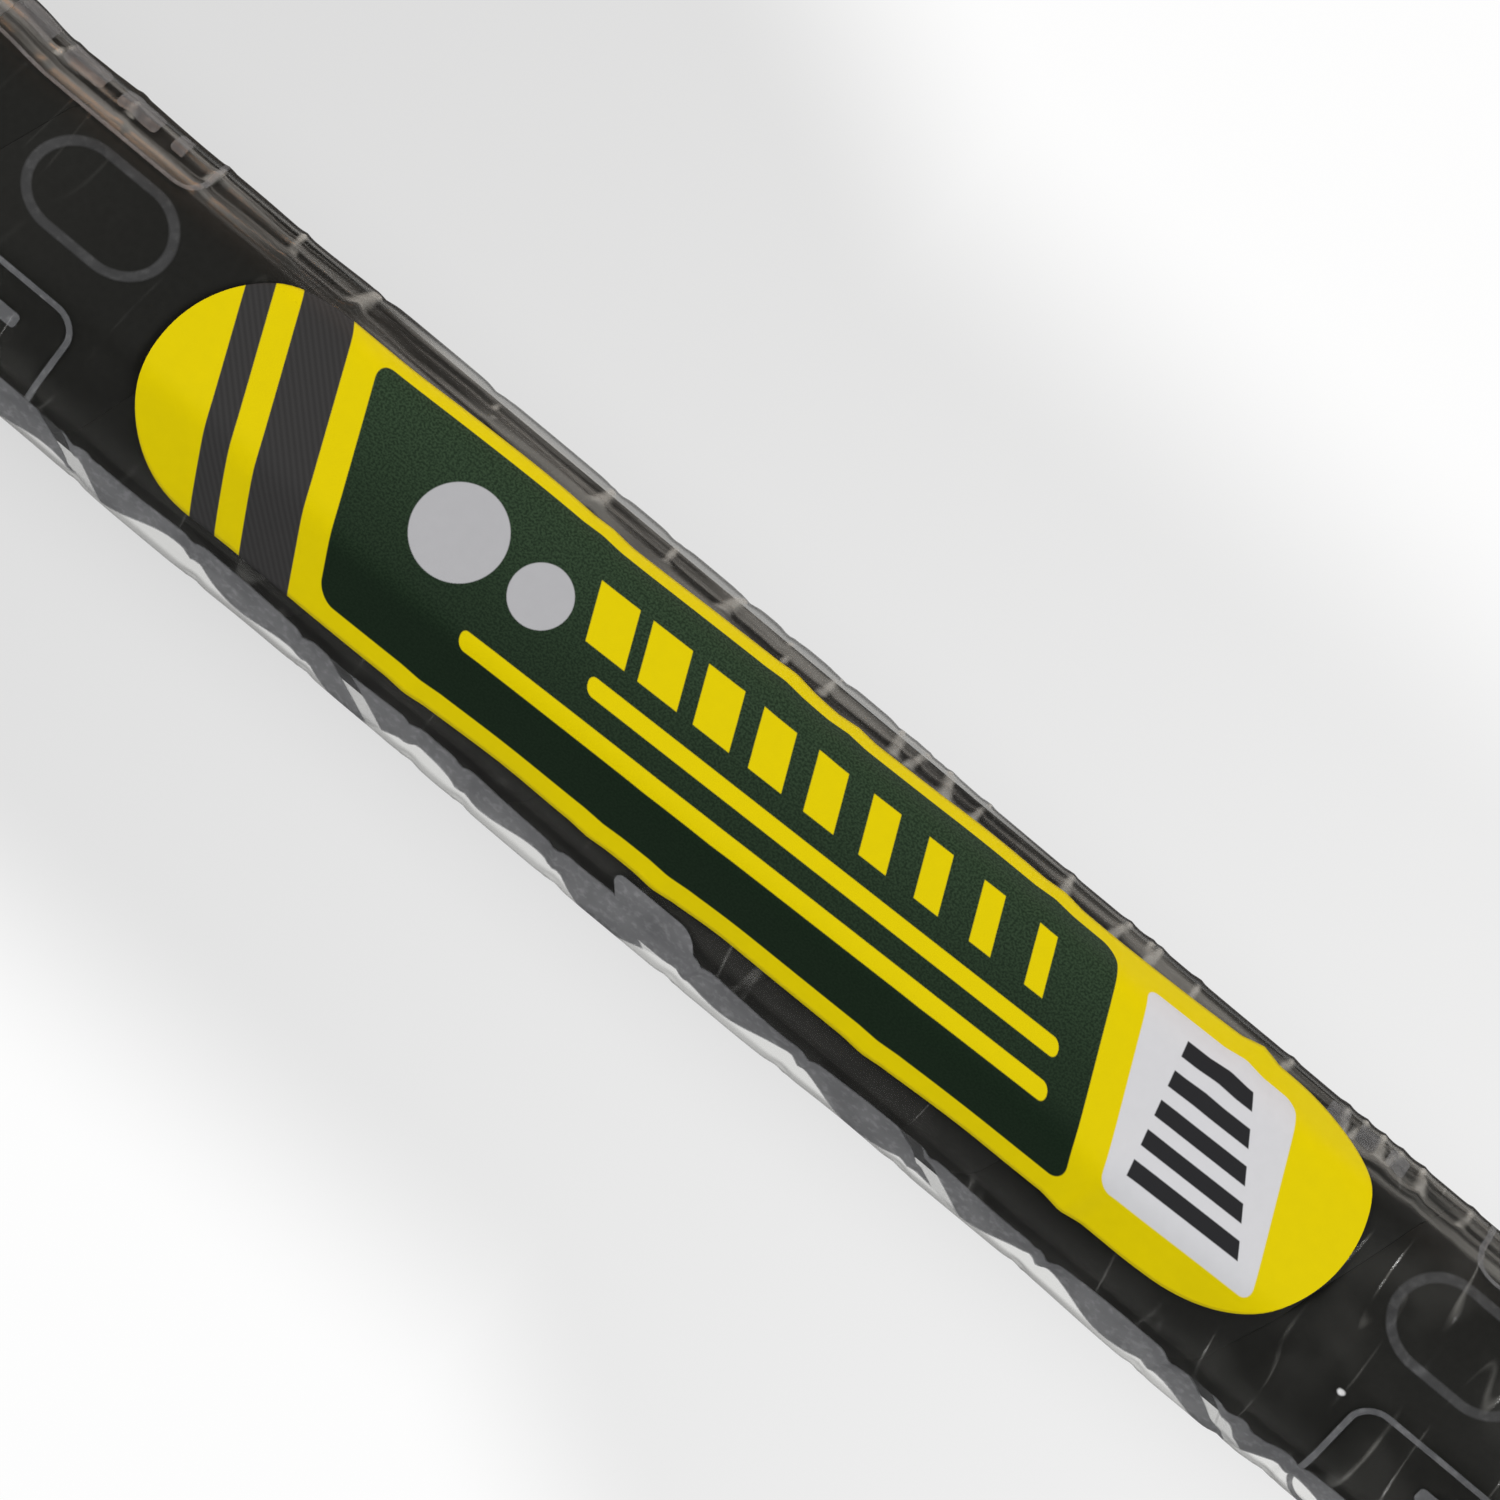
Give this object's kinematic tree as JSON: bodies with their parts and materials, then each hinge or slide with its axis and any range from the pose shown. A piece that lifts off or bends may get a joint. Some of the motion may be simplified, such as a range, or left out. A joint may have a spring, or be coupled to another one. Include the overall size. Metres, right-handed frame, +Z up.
{
  "type": "badminton racket",
  "caption": "Badminton racket with a strung oval head, slim round shaft, coned octagonal handle, and a wound grip under a clear sleeve that carries a long label.",
  "frame": {"origin": "middle of the racket's box, on the surface that it lies on", "axes": "+X along the racket from the butt to the head, +Y across the string bed, +Z up, square to the string bed, on the label's side"},
  "size_m": [0.675, 0.202, 0.0268],
  "materials": {
    "frame_graphite": "lacquered graphite",
    "tee_aluminium": "machined",
    "shaft_graphite": "lacquered graphite weave",
    "string": "coated nylon",
    "handle_graphite": "satin graphite",
    "inlay": "moulded",
    "inner_plastic": "moulded",
    "foam": "foamed",
    "cap": "moulded",
    "grip": "soft polyurethane",
    "tape": "vinyl",
    "film": "clear printed film",
    "label": "printed, satin"
  },
  "bodies": {
    "root": {"head_frame": "frame_graphite", "throat_fairing": "frame_graphite", "tee_joint_core": "tee_aluminium", "shaft": "shaft_graphite", "main_string": "string", "cross_string": "string", "handle_shell": "handle_graphite", "cone_inlay_top": "inlay", "cone_inlay_bottom": "inlay", "cone_inlay_left": "inlay", "cone_inlay_right": "inlay", "shaft_socket": "inner_plastic", "foam_core": "foam", "butt_cap": "cap", "grip_tape": "grip", "finishing_tape": "tape", "clear_sleeve": "film", "label": "label"}
  },
  "joints": []
}
